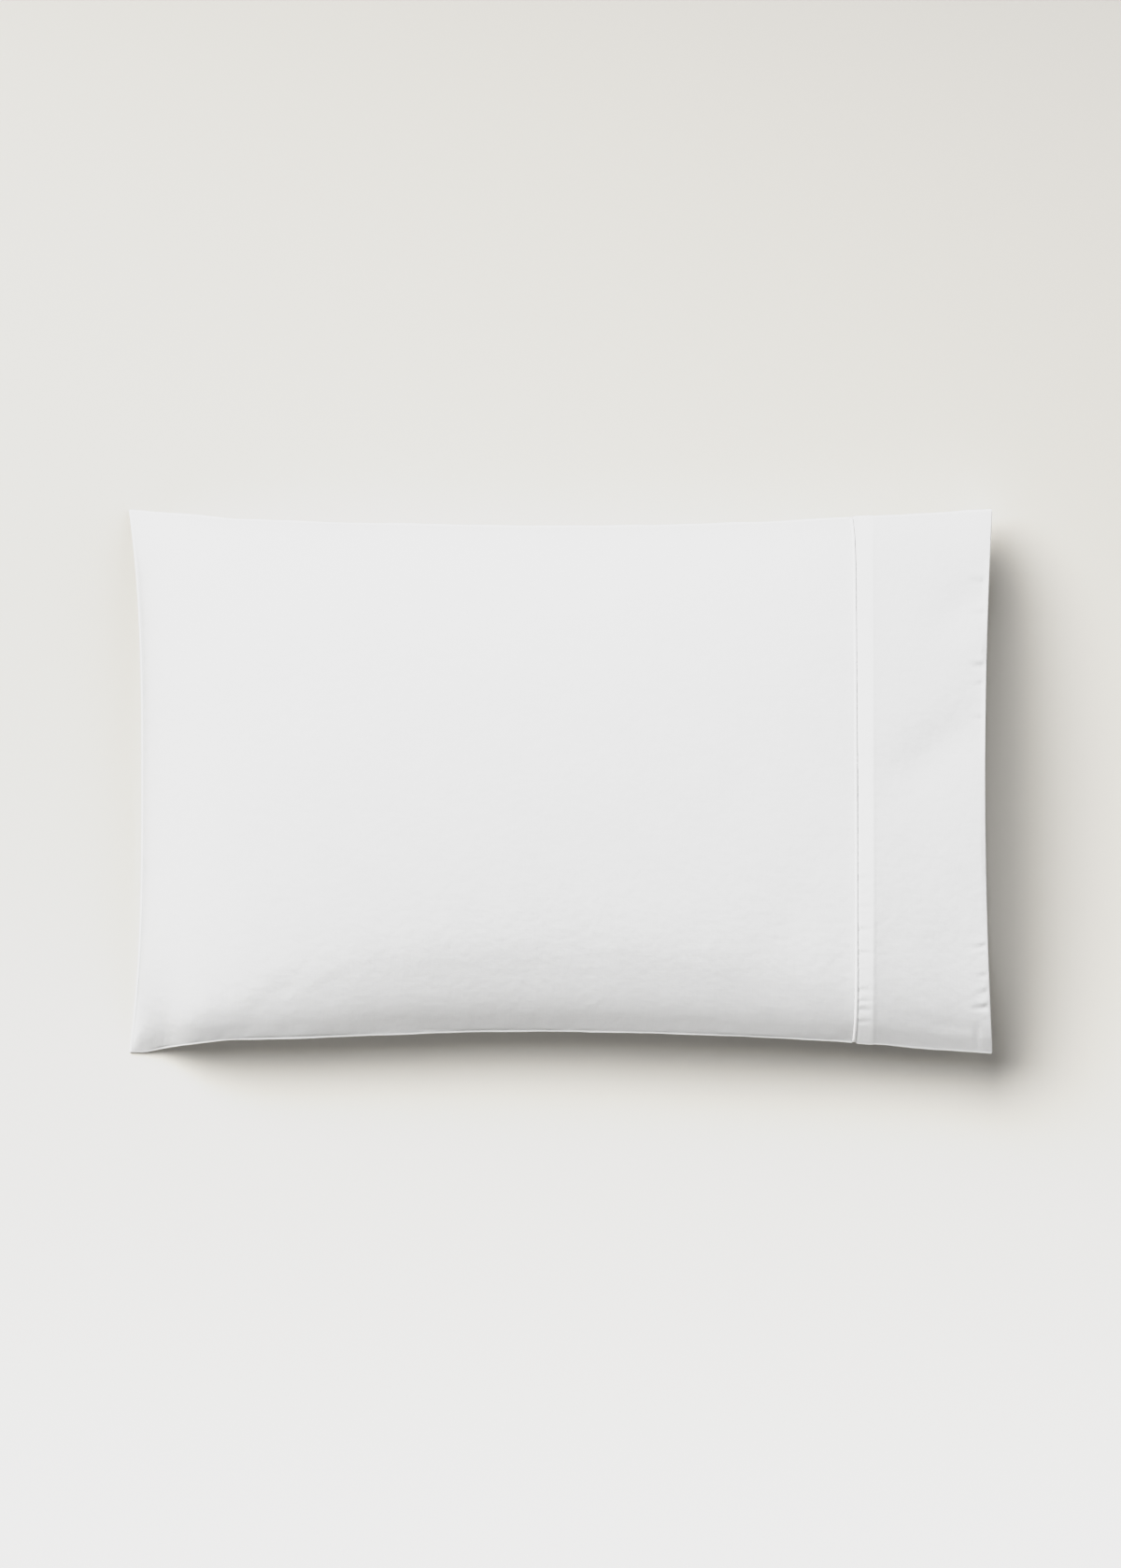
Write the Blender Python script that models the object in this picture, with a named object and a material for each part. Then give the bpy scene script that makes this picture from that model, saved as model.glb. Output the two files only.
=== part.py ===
"""A plump white cotton pillowcase with a piped cuff, lying flat.

Metres, +Z up. The case lies on z = 0 with its closed end at -X and its open mouth at +X. The origin is the
centre of its footprint. Every solid is a loft through rings, read from one short table of cross-sections.
"""

import math
from collections import namedtuple

import bmesh
import bpy

MM = 0.001

# Driving dimensions, in millimetres.
SEAM_X = 268.0          # piped seam between body and cuff
MOUTH_X = 392.5         # mouth corners; the closed corners lie as far the other way
CLOSED_BOW = 12.0       # how far the closed end draws in at its middle
MOUTH_BOW = 7.0         # how far the mouth draws back at its middle
SEAM_TILT = 1.1         # how far the piped seam's +Y end lies towards the closed end, and its -Y end the other way
SEAM_BEND = 2.4         # how far both its ends bend towards the closed end where it turns down the sides
SEAM_BEND_POWER = 14
LIP_WIDTH = 3.0         # seam lip that stands out round the case
LIP_HALF = 1.5          # half the lip's thickness where it leaves the case
LIP_TIP_HALF = 1.0      # half its thickness at its edge
CLOTH = 1.6             # wall of the cuff, a double layer of cotton
LAYER_RISE = 0.6        # the seam allowance lifts the cuff beside the piping by this much
LAYER_WIDTH = 15.2      # width of that raised strip, from the cuff's edge
LAYER_STEP = 0.8        # length of the slope at its end
GAP = 0.4               # clearance between neighbouring solids
PIPING_RADIUS = 1.5
PIPING_SINK = 0.15      # the piping's centre lies this far under the face of the cloth
FILL_END_X = 352.0      # end of the filling inside the cuff
FILL_ROUND = 52.0       # length over which the filling's end rounds off
FILL_HALF = 0.8         # half thickness of the filling at its end seam
FILL_MARGIN = 5.0       # how far inside the side seams of the cuff the filling ends
RIM_ROUND = 0.8         # rounding of the fold at the mouth
CROWN_SOFTNESS = 0.62   # 0.5 makes the crown a full round, and more lets it meet the side seams at an edge
SKEW_CURVE = 0.3        # how much faster a skewed crown sinks near its low side

BODY_END_X = SEAM_X - PIPING_RADIUS - GAP
CUFF_START_X = SEAM_X + PIPING_RADIUS + GAP
LAYER_END_X = CUFF_START_X + LAYER_WIDTH

# Mesh density, and the places of the rings where the table's rows are too far apart.
CELLS_ACROSS = 32
STEPS_PER_SECTION = 2
CUFF_STATIONS = (301.0, 318.0, 334.0, 350.0, 364.0, 378.0)
FILL_END_STEPS = (18.0, 8.0, 3.0, 0.0)
SMOOTH_ANGLE = math.radians(40.0)

# One row for each cross-section, from the closed end to the mouth, in millimetres. back and front are the half
# widths to the +Y and -Y edge, back_z and front_z the heights of those side seams, and mid_z the height of the
# seam plane at the centre line. rise is the crown above the seam plane. belly is the share of the way down to
# the floor that the underside reaches, and flat the share of the width that lies on the floor. square is the
# exponent of the crown, and skew how much lower it is towards the +Y edge than towards the -Y one.
Section = namedtuple("Section", "x back front back_z front_z mid_z rise belly flat square skew")
SECTIONS = [
    Section(-389.5, 247.2, 247.5, 6.0, 5.0, 34.0, 0.0, 0.00, 0.30, 2.0, 0.0),
    Section(-386.5, 247.0, 247.5, 6.3, 5.5, 34.6, 8.5, 0.18, 0.31, 2.0, 0.0),
    Section(-377.0, 246.3, 247.2, 7.8, 8.5, 36.0, 17.5, 0.42, 0.33, 2.0, 0.0),
    Section(-361.0, 244.9, 243.8, 13.0, 17.0, 38.0, 27.0, 0.62, 0.36, 2.0, 0.0),
    Section(-338.0, 243.0, 240.2, 22.5, 28.5, 40.0, 36.5, 0.80, 0.40, 2.0, 0.0),
    Section(-306.0, 239.6, 236.4, 32.5, 38.0, 42.0, 46.0, 0.93, 0.44, 2.0, 0.0),
    Section(-266.0, 237.8, 233.6, 40.0, 42.0, 43.5, 54.0, 1.00, 0.48, 2.0, 0.0),
    Section(-215.0, 235.9, 231.8, 44.0, 44.0, 44.5, 60.5, 1.00, 0.50, 2.0, 0.0),
    Section(-150.0, 234.4, 230.0, 46.0, 45.5, 45.0, 65.0, 1.00, 0.52, 2.0, 0.0),
    Section(-75.0, 232.8, 228.2, 47.0, 46.5, 45.5, 67.5, 1.00, 0.52, 2.0, 0.0),
    Section(0.0, 232.2, 228.0, 47.0, 48.0, 46.0, 67.5, 1.00, 0.52, 2.0, 0.0),
    Section(75.0, 232.9, 228.3, 47.0, 50.0, 46.5, 66.0, 1.00, 0.52, 2.0, 0.01),
    Section(150.0, 234.7, 230.4, 47.0, 50.5, 46.5, 62.0, 1.00, 0.51, 2.0, 0.05),
    Section(212.0, 237.2, 233.4, 47.0, 49.5, 46.5, 56.0, 0.99, 0.49, 2.03, 0.11),
    Section(268.0, 240.3, 237.0, 46.5, 48.5, 46.0, 49.5, 0.94, 0.47, 2.1, 0.2),
    Section(330.0, 243.4, 242.6, 46.0, 49.0, 45.5, 44.5, 0.89, 0.45, 2.25, 0.34),
    Section(392.5, 247.5, 247.5, 45.0, 50.0, 45.0, 39.5, 0.84, 0.44, 2.4, 0.5),
]

COTTON = (0.84, 0.84, 0.835, 1.0)
RISE_COLUMN = Section._fields.index("rise")
END_STEEPNESS = 2.0     # the crown leaves the closed end at this many times its mean slope there


def section_at(x):
    """The cross-section at x, on a smooth curve through the rows of the table."""
    i = max(k for k in range(len(SECTIONS) - 1) if SECTIONS[k].x <= x or k == 0)
    lower, upper = SECTIONS[i], SECTIONS[i + 1]
    before = SECTIONS[max(i - 1, 0)]
    after = SECTIONS[min(i + 2, len(SECTIONS) - 1)]
    span = upper.x - lower.x
    t = (x - lower.x) / span
    values = []
    for column in range(1, len(Section._fields)):
        a, b = lower[column], upper[column]
        slope_a = (b - before[column]) / (upper.x - before.x) * span
        slope_b = (after[column] - a) / (after.x - lower.x) * span
        if column == RISE_COLUMN and i == 0:
            slope_a = END_STEEPNESS * (b - a)
        rest = 1.0 - t
        value = (
            a * (1.0 + 2.0 * t) * rest * rest
            + slope_a * t * rest * rest
            + b * (3.0 - 2.0 * t) * t * t
            - slope_b * t * t * rest
        )
        values.append(value)
    section = Section(x, *values)
    return section._replace(belly=min(max(section.belly, 0.0), 1.0), rise=max(section.rise, 0.0))


def shift_x(x, v):
    """How far the point at share v of the half width lies from its section's plane."""
    closed = CLOSED_BOW * max(0.0, -x / MOUTH_X) ** 3 * (1.0 - abs(v) ** 3)
    past_seam = (x - SEAM_X) / (MOUTH_X - SEAM_X)
    mouth = MOUTH_BOW * max(0.0, past_seam) * (1.0 - v * v)
    seam = max(0.0, 1.0 - abs(past_seam)) * (SEAM_TILT * v + SEAM_BEND * v**SEAM_BEND_POWER)
    return closed - mouth - seam


RingPoint = namedtuple("RingPoint", "v y z mid")


def seam_plane(section, v):
    """Height of the plane in which the side seams lie, at share v of the half width."""
    edge = section.back_z if v > 0.0 else section.front_z
    return section.mid_z + (edge - section.mid_z) * v**4


def face_ring(section):
    """Points round the case's own face, without its lips: over the top from +Y to -Y, and back underneath."""
    half = (section.back + section.front) / 2.0 - LIP_WIDTH
    centre = (section.back - section.front) / 2.0
    shares = [math.cos(math.pi * k / CELLS_ACROSS) for k in range(CELLS_ACROSS + 1)]
    top, under = [], []
    for v in shares:
        mid = seam_plane(section, v)
        crown = max(0.0, 1.0 - abs(v) ** section.square) ** CROWN_SOFTNESS
        crown *= 1.0 - section.skew * v * (1.0 + SKEW_CURVE * v)
        outside = max(0.0, (abs(v) - section.flat) / (1.0 - section.flat))
        belly = section.belly * max(0.0, 1.0 - outside * outside) ** 0.5
        y = centre + half * v
        top.append(RingPoint(v, y, mid + LIP_HALF + section.rise * crown, mid))
        under.append(RingPoint(v, y, (mid - LIP_HALF) * (1.0 - belly), mid))
    return top + under[::-1]


def inset_ring(ring, inset):
    """The ring moved inwards by inset, square to its own run."""
    count = len(ring)
    moved = []
    for k, point in enumerate(ring):
        before, after = ring[k - 1], ring[(k + 1) % count]
        along_y, along_z = after.y - before.y, after.z - before.z
        length = math.hypot(along_y, along_z)
        share = inset / length
        moved.append(point._replace(y=point.y - along_z * share, z=point.z + along_y * share))
    return moved


def draw_in(ring, margin, share):
    """The ring drawn in from its sides, and towards the seam plane: share 1 leaves its depth, 0 only an end seam."""
    split = len(ring) // 2
    half_width = (ring[0].y - ring[split - 1].y) / 2.0
    centre = (ring[0].y + ring[split - 1].y) / 2.0
    narrow = 1.0 - margin / half_width
    drawn = []
    for k, point in enumerate(ring):
        side = 1.0 if k < split else -1.0
        depth = max(0.0, (point.z - point.mid) * side - FILL_HALF)
        drawn.append(point._replace(y=centre + (point.y - centre) * narrow,
                                    z=point.mid + side * (FILL_HALF + depth * share)))
    return drawn


def with_sides(ring, lip=0.0, tip_half=None):
    """The ring with two more points a side: the corners of the seam lip, or points on a plain side wall."""
    split = len(ring) // 2
    top, under = ring[:split], ring[split:]
    sides = []
    for above, below, outwards in ((top[-1], under[0], -1.0), (top[0], under[-1], 1.0)):
        middle = (above.z + below.z) / 2.0
        half = tip_half if tip_half is not None else (above.z - below.z) / 6.0
        y = (above.y + below.y) / 2.0 + outwards * lip
        pair = [above._replace(y=y, z=middle + half), above._replace(y=y, z=middle - half)]
        sides.append(pair)
    return top + sides[0] + under + sides[1][::-1]


def add_ring(bm, x, ring):
    """Vertices of a ring whose section stands at x."""
    return [bm.verts.new(((x + shift_x(x, p.v)) * MM, p.y * MM, p.z * MM)) for p in ring]


def loft(bm, rings, closed=False):
    """Quads between each ring and the next."""
    pairs = list(zip(rings, rings[1:]))
    if closed:
        pairs.append((rings[-1], rings[0]))
    for first, second in pairs:
        for k in range(len(first)):
            after = (k + 1) % len(first)
            bm.faces.new((first[k], first[after], second[after], second[k]))


def cap(bm, ring):
    """Closes an end whose upper and lower run lie face to face, with a strip of quads."""
    across = CELLS_ACROSS + 1
    top = ring[:across]
    lip_front = ring[across:across + 2]
    under = ring[across + 2:2 * across + 2][::-1]
    lip_back = ring[2 * across + 2:][::-1]
    for k in range(CELLS_ACROSS):
        bm.faces.new((top[k], top[k + 1], under[k + 1], under[k]))
    bm.faces.new((top[-1], lip_front[0], lip_front[1], under[-1]))
    bm.faces.new((top[0], under[0], lip_back[1], lip_back[0]))


def case_stations():
    """Where the body's rings stand: at each row of the table up to the seam, and between rows."""
    xs = [row.x for row in SECTIONS if row.x < BODY_END_X]
    xs.append(BODY_END_X)
    stations = []
    for lower, upper in zip(xs, xs[1:]):
        stations += [lower + (upper - lower) * k / STEPS_PER_SECTION for k in range(STEPS_PER_SECTION)]
    return stations + [xs[-1]]


def material(name, colour, roughness):
    """A Principled material of plain cotton."""
    finish = bpy.data.materials.new(name)
    finish.use_nodes = True
    shader = finish.node_tree.nodes["Principled BSDF"]
    shader.inputs["Base Color"].default_value = colour
    shader.inputs["Roughness"].default_value = roughness
    shader.inputs["Metallic"].default_value = 0.0
    return finish


def solid_object(name, bm, finish, collection):
    """A mesh object from a finished bmesh, with its faces turned outwards."""
    bmesh.ops.recalc_face_normals(bm, faces=bm.faces)
    if bm.calc_volume(signed=True) < 0.0:
        bmesh.ops.reverse_faces(bm, faces=bm.faces)
    mesh = bpy.data.meshes.new(name)
    bm.to_mesh(mesh)
    bm.free()
    mesh.shade_smooth()
    mesh.set_sharp_from_angle(angle=SMOOTH_ANGLE)
    mesh.materials.append(finish)
    thing = bpy.data.objects.new(name, mesh)
    collection.objects.link(thing)
    return thing


def make_case_body(collection):
    """The filled bag: its closed end, crown and side lips up to the seam, and its round end inside the cuff."""
    bm = bmesh.new()
    first = SECTIONS[0]
    tip = [p._replace(z=p.mid + math.copysign(LIP_TIP_HALF, p.z - p.mid)) for p in face_ring(first)]
    rings = [add_ring(bm, first.x - LIP_WIDTH, with_sides(tip, LIP_WIDTH, LIP_TIP_HALF))]
    for x in case_stations():
        ring = with_sides(face_ring(section_at(x)), LIP_WIDTH, LIP_TIP_HALF)
        rings.append(add_ring(bm, x, ring))
    end_steps = [FILL_END_X - step for step in FILL_END_STEPS]
    inside_cuff = [BODY_END_X, CUFF_START_X, LAYER_END_X] + [x for x in CUFF_STATIONS if x < end_steps[0]]
    for x in inside_cuff + end_steps:
        past = max(0.0, 1.0 - (FILL_END_X - x) / FILL_ROUND)
        ring = inset_ring(face_ring(section_at(x)), CLOTH + GAP)
        ring = draw_in(ring, FILL_MARGIN, math.sqrt(1.0 - past * past))
        rings.append(add_ring(bm, x, with_sides(ring)))
    loft(bm, rings)
    cap(bm, rings[0])
    cap(bm, rings[-1])
    return solid_object("case_body", bm, material("cotton_body", COTTON, 0.85), collection)


def make_cuff(collection):
    """The hollow band at the open end: two layers of cotton, lifted beside the piping, with a folded edge."""
    bm = bmesh.new()
    outer = [(CUFF_START_X, -LAYER_RISE), (LAYER_END_X, -LAYER_RISE), (LAYER_END_X + LAYER_STEP, 0.0)]
    outer += [(x, 0.0) for x in CUFF_STATIONS] + [(MOUTH_X - RIM_ROUND, 0.0), (MOUTH_X, CLOTH / 3.0)]
    rings = []
    for x, inset in outer:
        ring = inset_ring(face_ring(section_at(x)), inset)
        rings.append(add_ring(bm, x, with_sides(ring, LIP_WIDTH + inset, LIP_TIP_HALF)))
    inner = [(MOUTH_X, CLOTH * 2.0 / 3.0), (MOUTH_X - RIM_ROUND, CLOTH)]
    inner += [(x, CLOTH) for x in reversed((CUFF_START_X, LAYER_END_X) + CUFF_STATIONS)]
    for x, inset in inner:
        rings.append(add_ring(bm, x, with_sides(inset_ring(face_ring(section_at(x)), inset))))
    loft(bm, rings, closed=True)
    return solid_object("cuff", bm, material("cotton_cuff", COTTON, 0.85), collection)


def make_piping(collection):
    """The piping: a cotton cord in a groove between body and cuff, closed round the case."""
    ring = inset_ring(face_ring(section_at(SEAM_X)), PIPING_SINK)
    curve = bpy.data.curves.new("piping", "CURVE")
    curve.dimensions = "3D"
    curve.bevel_depth = PIPING_RADIUS * MM
    curve.bevel_resolution = 2
    spline = curve.splines.new("POLY")
    spline.points.add(len(ring) - 1)
    for spline_point, point in zip(spline.points, ring):
        x = SEAM_X + shift_x(SEAM_X, point.v)
        spline_point.co = (x * MM, point.y * MM, point.z * MM, 1.0)
    spline.use_cyclic_u = True
    spline.use_smooth = True
    curve.materials.append(material("cotton_piping", COTTON, 0.8))
    thing = bpy.data.objects.new("piping", curve)
    collection.objects.link(thing)
    return thing


def main():
    for thing in list(bpy.data.objects):
        bpy.data.objects.remove(thing, do_unlink=True)
    collection = bpy.data.collections.new("pillowcase")
    bpy.context.scene.collection.children.link(collection)
    make_case_body(collection)
    make_cuff(collection)
    make_piping(collection)


main()
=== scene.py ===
"""Looks of a filled white cotton pillowcase that lies flat and is seen from straight above.

Tables and sizes are in millimetres, and the finished meshes in metres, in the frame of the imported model:
the closed end at -X, the open mouth at +X, +Z up, the surface that the case lies on at z = 0.
"""

from __future__ import annotations

import logging
import math
from dataclasses import dataclass, field
from enum import Enum

import bmesh
import bpy
import numpy as np
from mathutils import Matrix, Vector, noise


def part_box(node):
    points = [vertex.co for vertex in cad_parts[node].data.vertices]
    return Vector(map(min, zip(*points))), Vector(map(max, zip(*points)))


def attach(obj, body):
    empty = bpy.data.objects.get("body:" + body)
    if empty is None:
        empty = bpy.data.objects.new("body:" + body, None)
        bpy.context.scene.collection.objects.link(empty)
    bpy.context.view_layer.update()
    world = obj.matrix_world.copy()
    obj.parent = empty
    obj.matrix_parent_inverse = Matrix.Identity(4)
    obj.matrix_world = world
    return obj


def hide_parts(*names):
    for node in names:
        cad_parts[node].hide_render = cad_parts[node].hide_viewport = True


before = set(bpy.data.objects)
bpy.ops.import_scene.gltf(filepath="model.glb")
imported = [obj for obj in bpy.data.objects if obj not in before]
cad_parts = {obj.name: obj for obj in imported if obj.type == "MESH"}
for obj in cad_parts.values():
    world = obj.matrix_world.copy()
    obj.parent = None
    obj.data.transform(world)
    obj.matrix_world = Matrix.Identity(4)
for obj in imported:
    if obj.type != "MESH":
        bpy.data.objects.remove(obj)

MM = 0.001
BODY = "root"
LOG = logging.getLogger("pillowcase")


# --- The form that bag, cuff and piping share -----------------------------------------------------


@dataclass(frozen=True)
class Section:
    """One cross-section of the filled case, in millimetres.

    back and front are the half widths to the +Y and the -Y edge, back_z and front_z the heights of those
    side seams, and mid_z the height of the seam plane at the centre line. rise is the crown above the seam
    plane. belly is the share of the way down to the surface that the underside reaches, and flat the share
    of the width that lies on it. square is the exponent of the crown, and skew how much lower it is towards
    the +Y edge than towards the -Y one.
    """

    x: float
    back: float
    front: float
    back_z: float
    front_z: float
    mid_z: float
    rise: float
    belly: float
    flat: float
    square: float
    skew: float

    def columns(self) -> np.ndarray:
        """All values of the row as one array."""
        return np.array([getattr(self, name) for name in self.__dataclass_fields__])


SECTIONS = (
    Section(-389.5, 247.2, 247.5, 3.0, 2.2, 34.0, 0.0, 0.00, 0.30, 2.0, 0.0),
    Section(-386.5, 247.0, 247.5, 3.3, 2.3, 34.6, 8.5, 0.18, 0.31, 2.0, 0.0),
    Section(-377.0, 246.3, 247.2, 5.5, 3.2, 36.0, 17.5, 0.42, 0.33, 2.0, 0.0),
    Section(-361.0, 244.9, 243.8, 12.0, 9.5, 38.0, 27.0, 0.62, 0.36, 2.0, 0.0),
    Section(-338.0, 243.0, 240.2, 22.5, 29.0, 40.0, 36.5, 0.80, 0.40, 2.0, 0.0),
    Section(-306.0, 239.6, 236.4, 32.5, 40.5, 42.0, 46.0, 0.93, 0.44, 2.0, 0.0),
    Section(-266.0, 237.8, 234.8, 40.0, 43.3, 43.5, 54.0, 1.00, 0.48, 2.0, 0.0),
    Section(-215.0, 235.9, 233.2, 44.0, 44.0, 44.5, 60.5, 1.00, 0.50, 2.0, 0.0),
    Section(-150.0, 234.4, 230.7, 46.0, 45.5, 45.0, 65.0, 1.00, 0.52, 2.0, 0.0),
    Section(-75.0, 232.8, 228.3, 47.0, 46.5, 45.5, 67.5, 1.00, 0.52, 2.0, 0.0),
    Section(0.0, 232.2, 228.0, 47.0, 48.0, 46.0, 67.5, 1.00, 0.52, 2.0, 0.0),
    Section(75.0, 232.9, 229.4, 47.0, 50.0, 46.5, 66.0, 1.00, 0.52, 2.0, 0.01),
    Section(150.0, 234.7, 232.0, 47.0, 50.5, 46.5, 62.0, 1.00, 0.51, 2.0, 0.05),
    Section(212.0, 237.2, 234.9, 47.0, 49.5, 46.5, 56.0, 0.99, 0.49, 2.03, 0.11),
    Section(268.0, 240.3, 238.0, 46.5, 48.5, 46.0, 49.5, 0.94, 0.47, 2.1, 0.2),
    Section(330.0, 243.4, 243.2, 46.0, 49.0, 45.5, 44.5, 0.89, 0.45, 2.25, 0.24),
    Section(392.5, 247.5, 247.5, 45.0, 50.0, 45.0, 39.5, 0.84, 0.44, 2.4, 0.28),
)


@dataclass
class Ring:
    """Points round the case at one station, from the +Y side over the top to -Y, and back underneath.

    share is each point's place across the half width, upper is 1 on the upper panel and 0 on the lower one,
    and from_seam is the distance over the cloth to the nearer side seam, negative out on the lip.
    """

    x: np.ndarray
    y: np.ndarray
    z: np.ndarray
    share: np.ndarray
    upper: np.ndarray
    from_seam: np.ndarray


@dataclass(frozen=True)
class CaseForm:
    """The outer form of the case, read from its cross-sections, with the bows of its ends and its seam.

    The closed end and the mouth bow inwards, and the piped seam is tilted, with a bend at its ends. The lip
    is the narrow edge of cloth outside the side seams: it droops, its width wavers in long waves and short
    ripples, it narrows to its edge by its taper, and the lower its boxiness, the squarer its edge. The
    crown leaves the seams over the first share edge_ease, and the lower crown_softness, the flatter it is
    in the middle.
    """

    sections: tuple[Section, ...] = SECTIONS
    mouth_x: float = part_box("cuff")[1].x / MM
    piping_radius: float = 1.5
    piping_share: float = 0.85
    closed_bow: float = 12.0
    mouth_bow: float = 7.0
    seam_tilt: float = 1.1
    seam_bend: float = 2.4
    seam_bend_power: int = 14
    lip_width: float = 2.0
    lip_half: float = 0.9
    lip_droop: float = 0.35
    lip_wave: float = 0.35
    lip_wave_length: float = 34.0
    lip_ripple: float = 0.4
    lip_ripple_length: float = 11.0
    lip_boxiness: float = 0.45
    lip_taper: float = 0.4
    end_steepness: float = 2.0
    crown_softness: float = 0.60
    edge_ease: float = 0.098
    crown_share: float = 0.96
    skew_curve: float = 0.3

    @property
    def seam_x(self) -> float:
        """Where the piping's centre line runs, from the piping's box in the frame."""
        furthest = -self.lean(np.linspace(-1.0, 1.0, 401)).min()
        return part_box("piping")[1].x / MM - self.piping_radius - furthest

    @property
    def piping_half(self) -> float:
        """Half the space along the case that bag and cuff leave to the piping."""
        return self.piping_radius * self.piping_share

    def lean(self, share: np.ndarray) -> np.ndarray:
        """How far the piped seam lies towards the closed end, at shares of the half width."""
        return self.seam_tilt * share + self.seam_bend * share**self.seam_bend_power

    def section_at(self, x: float) -> Section:
        """Reads the cross-section at a station, on a smooth curve through the rows of the table.

        Args:
            x: The station, in millimetres.

        Returns:
            The cross-section there.
        """
        rows = self.sections
        x = max(x, rows[0].x)
        low = max(k for k in range(len(rows) - 1) if rows[k].x <= x)
        before, lower, upper = rows[max(low - 1, 0)], rows[low], rows[low + 1]
        after = rows[min(low + 2, len(rows) - 1)]
        span = upper.x - lower.x
        t = (x - lower.x) / span
        a, b = lower.columns(), upper.columns()
        slope_a = (b - before.columns()) / (upper.x - before.x) * span
        slope_b = (after.columns() - a) / (after.x - lower.x) * span
        if low == 0:
            rise = list(Section.__dataclass_fields__).index("rise")
            slope_a[rise] = self.end_steepness * (b[rise] - a[rise])
        rest = 1.0 - t
        values = a * (1 + 2 * t) * rest**2 + slope_a * t * rest**2
        values = values + b * (3 - 2 * t) * t**2 - slope_b * t**2 * rest
        found = dict(zip(Section.__dataclass_fields__, values))
        found["belly"] = min(max(found["belly"], 0.0), 1.0)
        found["rise"] = max(found["rise"], 0.0)
        return Section(**found)

    def bow(self, x: float, share: np.ndarray) -> np.ndarray:
        """How far points lie from their section's plane.

        Args:
            x: The station, in millimetres.
            share: Each point's place across the half width.

        Returns:
            The offset along X of each point.
        """
        past_seam = (x - self.seam_x) / (self.mouth_x - self.seam_x)
        closed = self.closed_bow * max(0.0, -x / self.mouth_x) ** 3 * (1.0 - np.abs(share) ** 3)
        mouth = self.mouth_bow * max(0.0, past_seam) * (1.0 - share**2)
        return closed - mouth - max(0.0, 1.0 - abs(past_seam)) * self.lean(share)

    def crown(self, section: Section, share: np.ndarray) -> np.ndarray:
        """Height of the upper panel over its seams.

        The cloth leaves the seams at a slope that is eased over the first stretch, and rounds off above it.

        Args:
            section: The cross-section.
            share: Each point's place across the half width.

        Returns:
            The height of each point.
        """
        inside = np.clip(1.0 - np.abs(share) ** section.square, 0.0, 1.0)
        ease, soft = self.edge_ease, self.crown_softness
        slope = soft * ease ** (soft - 1.0)
        start = ease**soft - slope * ease
        full = np.where(inside < ease, start + slope * inside, np.maximum(inside, ease) ** soft)
        lean = 1.0 - section.skew * share * (1.0 + self.skew_curve * share)
        return self.crown_share * section.rise * lean * (full - start) / (1.0 - start)

    def ring(self, x: float, cells: int, side_cells: int, inset: float = 0.0, lip: float = 0.0,
             half: float | None = None, margin: float = 0.0, thinnest: float = 0.0,
             fullness: float = 1.0) -> Ring:
        """Makes one ring of points round the case.

        Args:
            x: The station, in millimetres.
            cells: Number of cells across each panel.
            side_cells: Number of cells round each side, from one panel to the other.
            inset: How far inside the face the ring lies, square to it.
            lip: How far the lip stands out of the side, or 0 for a plain side.
            half: Half thickness that the ring is pressed to, as in the flat lip of the closed end.
            margin: How far the ring is drawn in from the side seams.
            thinnest: Least half thickness of the ring.
            fullness: Share of the depth that is kept, where the filling rounds off.

        Returns:
            The ring, with its arrays in order round the case.
        """
        section = self.section_at(x)
        share = np.cos(np.pi * np.arange(cells + 1) / cells)
        edge_z = np.where(share > 0.0, section.back_z, section.front_z)
        mid = section.mid_z + (edge_z - section.mid_z) * share**4
        outside = np.clip((np.abs(share) - section.flat) / (1.0 - section.flat), 0.0, 1.0)
        belly = section.belly * np.sqrt(1.0 - outside**2)
        width = (section.back + section.front) / 2.0 - self.lip_width
        centre = (section.back - section.front) / 2.0
        across = centre + width * share
        above = mid + self.lip_half + self.crown(section, share)
        below = (mid - self.lip_half) * (1.0 - belly)
        if half is not None:
            above, below = mid + half, mid - half
        y = np.concatenate([across, across[::-1]])
        z = np.concatenate([above, below[::-1]])
        mids = np.concatenate([mid, mid[::-1]])
        if inset:
            along_y, along_z = np.roll(y, -1) - np.roll(y, 1), np.roll(z, -1) - np.roll(z, 1)
            length = np.hypot(along_y, along_z)
            y, z = y - along_z * inset / length, z + along_y * inset / length
        if margin:
            y = centre + (y - centre) * (1.0 - margin / width)
            side = np.repeat((1.0, -1.0), cells + 1)
            depth = np.maximum((z - mids) * side - thinnest, 0.0)
            z = mids + side * (thinnest + depth * fullness)
        return self._with_sides(x, y, z, np.concatenate([share, share[::-1]]), cells, side_cells, lip)

    def _wave(self, x: float, side: float) -> float:
        """How much wider than usual the lip is at one place.

        Args:
            x: The station, in millimetres.
            side: 1 for one side of the case and -1 for the other.

        Returns:
            The share of the lip's width that it gains.
        """
        wave = noise.noise(Vector((x / self.lip_wave_length, side * 5.0, 0.5)))
        ripple = noise.noise(Vector((x / self.lip_ripple_length, side * 7.0, 3.5)))
        return self.lip_wave * wave + self.lip_ripple * self.lip_wave * ripple

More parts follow.
